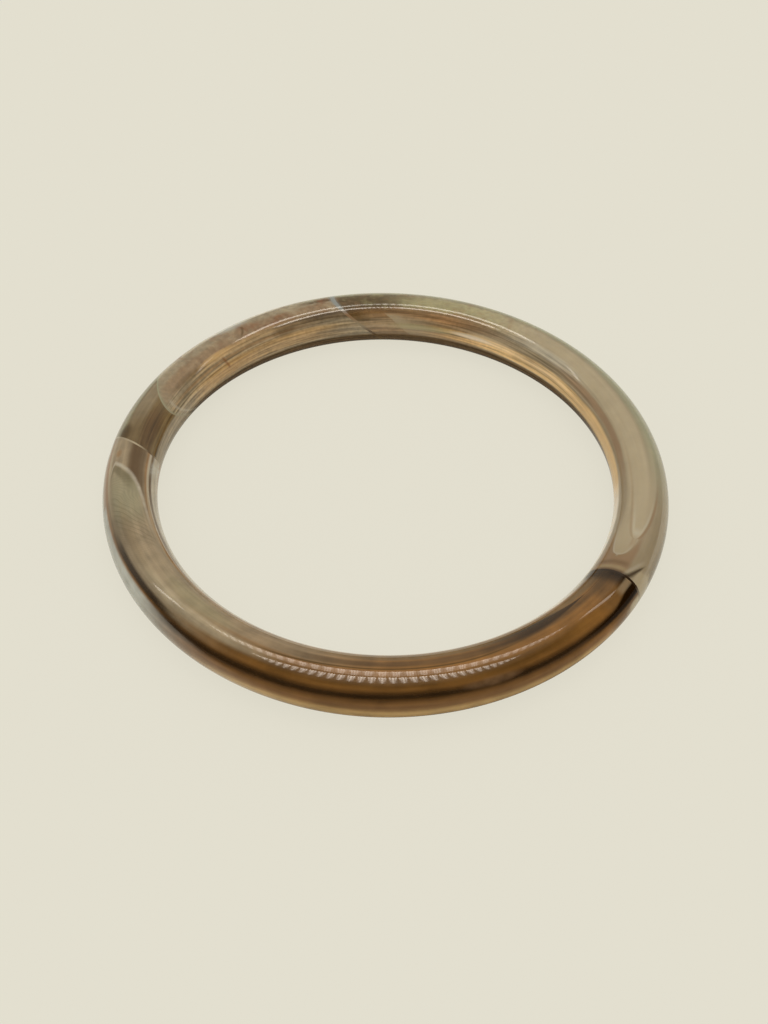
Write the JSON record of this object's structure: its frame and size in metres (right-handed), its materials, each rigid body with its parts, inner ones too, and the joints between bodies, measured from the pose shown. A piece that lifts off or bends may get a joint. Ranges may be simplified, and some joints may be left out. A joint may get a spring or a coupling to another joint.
{
  "type": "bangle bracelet",
  "caption": "Closed rigid round bangle bracelet in polished banded agate: a round bar in a full circle, with coloured lengths that meet at thin mineral seams.",
  "frame": {"origin": "centre of the ring, halfway up the bar, which is also the centre of the bounding box", "axes": "+Z along the ring's axis, upwards when the bangle lies flat; the umber seam is in the +X, -Y quarter at 325 degrees, and the milky seam at 97.5 degrees, both counter-clockwise from +X seen from +Z"},
  "size_m": [0.074, 0.074, 0.007],
  "materials": {
    "taupe_stone": "polished",
    "milky_seam": "polished",
    "honey_stone": "polished",
    "grey_seam": "polished",
    "smoke_stone": "polished",
    "rose_seam": "polished",
    "amber_stone": "polished",
    "umber_seam": "polished"
  },
  "bodies": {
    "root": {"taupe_stone": "taupe_stone", "milky_seam": "milky_seam", "honey_stone": "honey_stone", "grey_seam": "grey_seam", "smoke_stone": "smoke_stone", "rose_seam": "rose_seam", "amber_stone": "amber_stone", "umber_seam": "umber_seam"}
  },
  "joints": []
}
